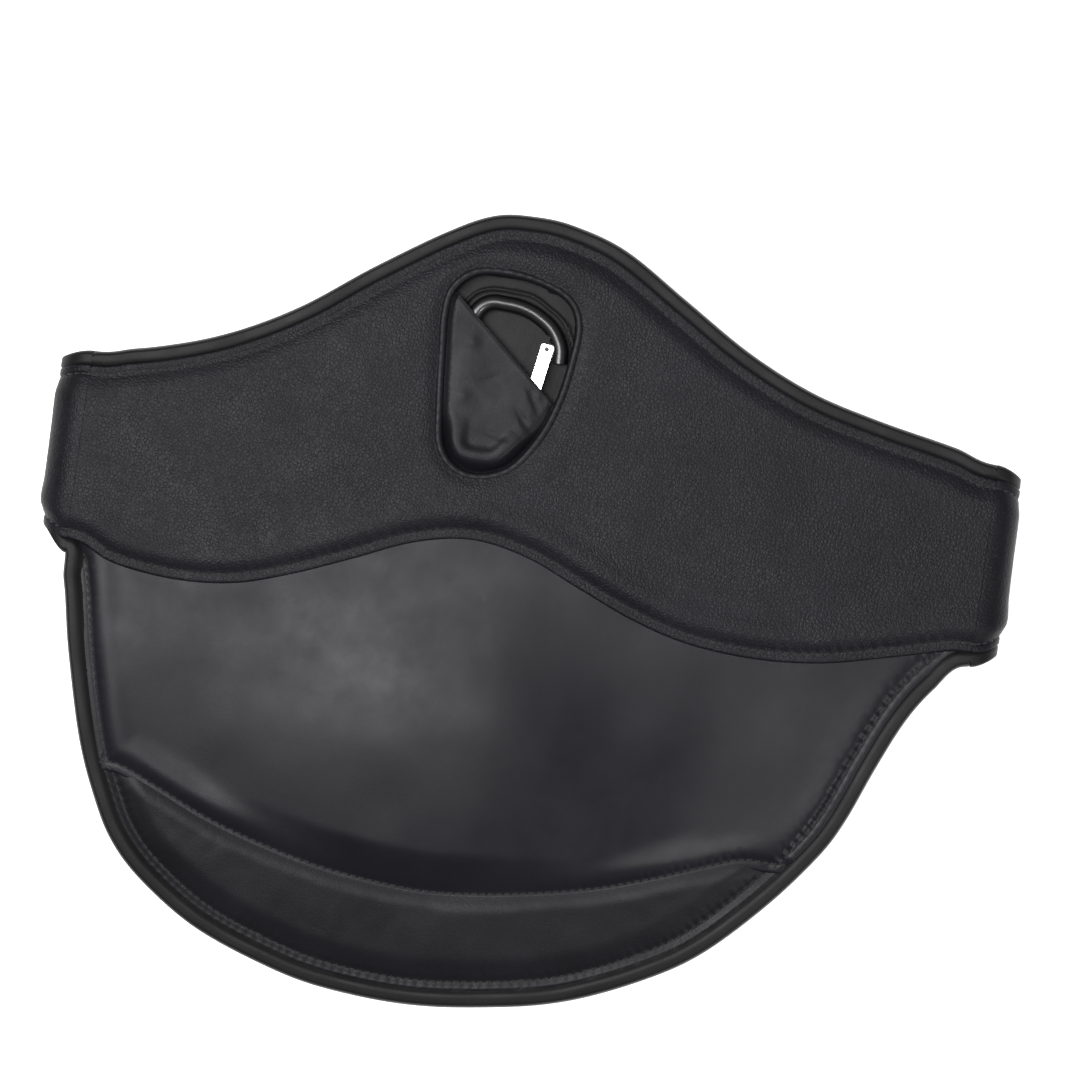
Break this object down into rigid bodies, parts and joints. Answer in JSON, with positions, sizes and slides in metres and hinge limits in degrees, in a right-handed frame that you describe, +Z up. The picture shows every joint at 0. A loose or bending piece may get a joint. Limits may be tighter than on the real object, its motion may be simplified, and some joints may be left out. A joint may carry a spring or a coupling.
{
  "type": "belly guard girth",
  "caption": "Padded leather belly-guard girth, lying face up with both buckle ends folded under, with a snap hook set in a small window.",
  "frame": {"origin": "middle of the bounding box's underside, on the surface that the folded girth lies on", "axes": "+X along the girth to the right of its outer face, +Y across it towards the hump, +Z up out of the outer face"},
  "size_m": [0.428, 0.3536, 0.0266],
  "materials": {
    "grained_leather": "fine creased grain, satin",
    "smooth_leather": "smooth, satin sheen",
    "soft_leather": "soft, satin",
    "liner_leather": "soft, matt",
    "foam": "matt",
    "webbing": "woven, matt",
    "elastic": "ribbed, matt",
    "black_enamel": "gloss",
    "satin_steel": "satin",
    "bright_steel": "polished"
  },
  "bodies": {
    "pad": {"band_facing": "grained_leather", "band_padding": "foam", "belly_plate": "smooth_leather", "toe_panel": "soft_leather", "toe_padding": "foam", "core_panel": "webbing", "liner_padding": "foam", "liner": "liner_leather", "edge_rim": "soft_leather", "web_anchors": "webbing", "window_welt": "soft_leather", "window_floor": "soft_leather", "hook_pocket": "soft_leather", "hook_loop": "soft_leather", "hook_body": "black_enamel", "gate_pivot_pin": "satin_steel"},
    "gate": {"hook_gate": "satin_steel", "gate_latch_pin": "satin_steel", "gate_spring": "satin_steel"},
    "left_fold_inner": {"left_fold_inner_facing": "grained_leather", "left_fold_inner_core": "webbing", "left_fold_inner_liner": "liner_leather"},
    "left_fold_outer": {"left_fold_outer_facing": "grained_leather", "left_fold_outer_core": "webbing", "left_fold_outer_liner": "liner_leather"},
    "left_strap": {"left_strap_facing": "grained_leather", "left_strap_core": "webbing", "left_strap_liner": "liner_leather", "left_upper_elastic": "elastic", "left_lower_elastic": "elastic", "left_upper_buckle_frame": "bright_steel", "left_lower_buckle_frame": "bright_steel"},
    "left_upper_roller": {"left_upper_roller": "bright_steel"},
    "left_upper_tongue": {"left_upper_tongue": "bright_steel"},
    "left_lower_roller": {"left_lower_roller": "bright_steel"},
    "left_lower_tongue": {"left_lower_tongue": "bright_steel"},
    "right_fold_inner": {"right_fold_inner_facing": "grained_leather", "right_fold_inner_core": "webbing", "right_fold_inner_liner": "liner_leather"},
    "right_fold_outer": {"right_fold_outer_facing": "grained_leather", "right_fold_outer_core": "webbing", "right_fold_outer_liner": "liner_leather"},
    "right_strap": {"right_strap_facing": "grained_leather", "right_strap_core": "webbing", "right_strap_liner": "liner_leather", "right_upper_elastic": "elastic", "right_lower_elastic": "elastic", "right_upper_buckle_frame": "bright_steel", "right_lower_buckle_frame": "bright_steel"},
    "right_upper_roller": {"right_upper_roller": "bright_steel"},
    "right_upper_tongue": {"right_upper_tongue": "bright_steel"},
    "right_lower_roller": {"right_lower_roller": "bright_steel"},
    "right_lower_tongue": {"right_lower_tongue": "bright_steel"}
  },
  "joints": [
    {"name": "gate_swing", "type": "hinge", "parent": "pad", "child": "gate", "pos_m": [-0.0094, 0.08136, 0.0205], "axis": [0, 0, 1], "range_deg": [0, 25], "stiffness_Nm_per_rad": 0.12, "springref_deg": -20.05},
    {"name": "left_fold_inner_bend", "type": "hinge", "parent": "pad", "child": "left_fold_inner", "pos_m": [-0.2075, 0.04601, 0.02426], "axis": [0, 1, 0], "range_deg": [0, 60]},
    {"name": "left_fold_outer_bend", "type": "hinge", "parent": "left_fold_inner", "child": "left_fold_outer", "pos_m": [-0.214, 0.04601, 0.013], "axis": [0, 1, 0], "range_deg": [0, 60]},
    {"name": "left_strap_bend", "type": "hinge", "parent": "left_fold_outer", "child": "left_strap", "pos_m": [-0.2075, 0.04601, 0.00174], "axis": [0, 1, 0], "range_deg": [0, 60]},
    {"name": "left_upper_tongue_swing", "type": "hinge", "parent": "left_strap", "child": "left_upper_tongue", "pos_m": [-0.05174, 0.06451, 0.0063], "axis": [0, 1, 0], "range_deg": [0, 90]},
    {"name": "left_upper_roller_spin", "type": "hinge", "parent": "left_strap", "child": "left_upper_roller", "pos_m": [-0.02174, 0.06451, 0.0063], "axis": [0, 1, 0], "continuous": true},
    {"name": "left_lower_tongue_swing", "type": "hinge", "parent": "left_strap", "child": "left_lower_tongue", "pos_m": [-0.05174, 0.02751, 0.0063], "axis": [0, 1, 0], "range_deg": [0, 90]},
    {"name": "left_lower_roller_spin", "type": "hinge", "parent": "left_strap", "child": "left_lower_roller", "pos_m": [-0.02174, 0.02751, 0.0063], "axis": [0, 1, 0], "continuous": true},
    {"name": "right_fold_inner_bend", "type": "hinge", "parent": "pad", "child": "right_fold_inner", "pos_m": [0.2075, 0.05151, 0.02426], "axis": [0, -1, 0], "range_deg": [0, 60]},
    {"name": "right_fold_outer_bend", "type": "hinge", "parent": "right_fold_inner", "child": "right_fold_outer", "pos_m": [0.214, 0.05151, 0.013], "axis": [0, -1, 0], "range_deg": [0, 60]},
    {"name": "right_strap_bend", "type": "hinge", "parent": "right_fold_outer", "child": "right_strap", "pos_m": [0.2075, 0.05151, 0.00174], "axis": [0, -1, 0], "range_deg": [0, 60]},
    {"name": "right_upper_tongue_swing", "type": "hinge", "parent": "right_strap", "child": "right_upper_tongue", "pos_m": [0.09974, 0.07001, 0.0063], "axis": [0, -1, 0], "range_deg": [0, 90]},
    {"name": "right_upper_roller_spin", "type": "hinge", "parent": "right_strap", "child": "right_upper_roller", "pos_m": [0.06974, 0.07001, 0.0063], "axis": [0, 1, 0], "continuous": true},
    {"name": "right_lower_tongue_swing", "type": "hinge", "parent": "right_strap", "child": "right_lower_tongue", "pos_m": [0.09974, 0.03301, 0.0063], "axis": [0, -1, 0], "range_deg": [0, 90]},
    {"name": "right_lower_roller_spin", "type": "hinge", "parent": "right_strap", "child": "right_lower_roller", "pos_m": [0.06974, 0.03301, 0.0063], "axis": [0, 1, 0], "continuous": true}
  ],
  "couplings": [
    {"joint": "left_fold_outer_bend", "follows": "left_fold_inner_bend", "ratio": 1},
    {"joint": "left_strap_bend", "follows": "left_fold_inner_bend", "ratio": 1},
    {"joint": "right_fold_outer_bend", "follows": "right_fold_inner_bend", "ratio": 1},
    {"joint": "right_strap_bend", "follows": "right_fold_inner_bend", "ratio": 1}
  ]
}
